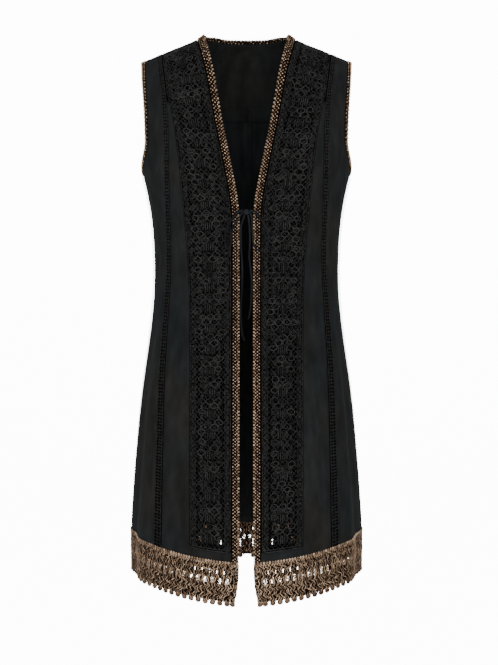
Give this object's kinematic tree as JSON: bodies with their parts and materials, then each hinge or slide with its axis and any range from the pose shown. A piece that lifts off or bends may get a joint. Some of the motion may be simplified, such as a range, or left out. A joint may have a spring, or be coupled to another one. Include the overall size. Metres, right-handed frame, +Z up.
{
  "type": "long suede vest, worn by a wearer, folk dress",
  "caption": "Long sleeveless open-front black suede vest with black openwork crochet panels, bronze crochet edging and hem lace, and a suede lace tie at the chest.",
  "frame": {"origin": "midway between the shoulders at the height of the shoulder seams, where the wearer holds the vest up", "axes": "+Z up, the front looks towards -Y and the wearer's left is +X"},
  "size_m": [0.4084, 0.3353, 0.978],
  "materials": {
    "suede": "napped black suede with a faint teal and brown bloom",
    "black_crochet": "matt black cotton yarn, crocheted openwork",
    "bronze_crochet": "bronze metallic yarn, crocheted",
    "suede_lace": "narrow cut suede lace"
  },
  "bodies": {
    "root": {"front_crochet_L": "black_crochet", "front_crochet_R": "black_crochet", "front_insertion_L": "black_crochet", "front_insertion_R": "black_crochet", "front_gore_L": "suede", "front_gore_R": "suede", "side_front_L": "suede", "side_front_R": "suede", "front_hem_band_L": "suede", "front_hem_band_R": "suede", "back_yoke": "suede", "back_L": "suede", "back_R": "suede", "side_braid_L": "bronze_crochet", "side_braid_R": "bronze_crochet", "front_edging_L": "bronze_crochet", "front_edging_R": "bronze_crochet", "neck_edging": "bronze_crochet", "armhole_edging_L": "bronze_crochet", "armhole_edging_R": "bronze_crochet", "hem_lace_front_L": "bronze_crochet", "hem_lace_front_R": "bronze_crochet", "hem_lace_back_L": "bronze_crochet", "hem_lace_back_R": "bronze_crochet", "tie_knot": "suede_lace", "tie_span": "suede_lace", "tie_loop_L": "suede_lace", "tie_loop_R": "suede_lace", "tie_end_L": "suede_lace", "tie_end_R": "suede_lace"}
  },
  "joints": []
}
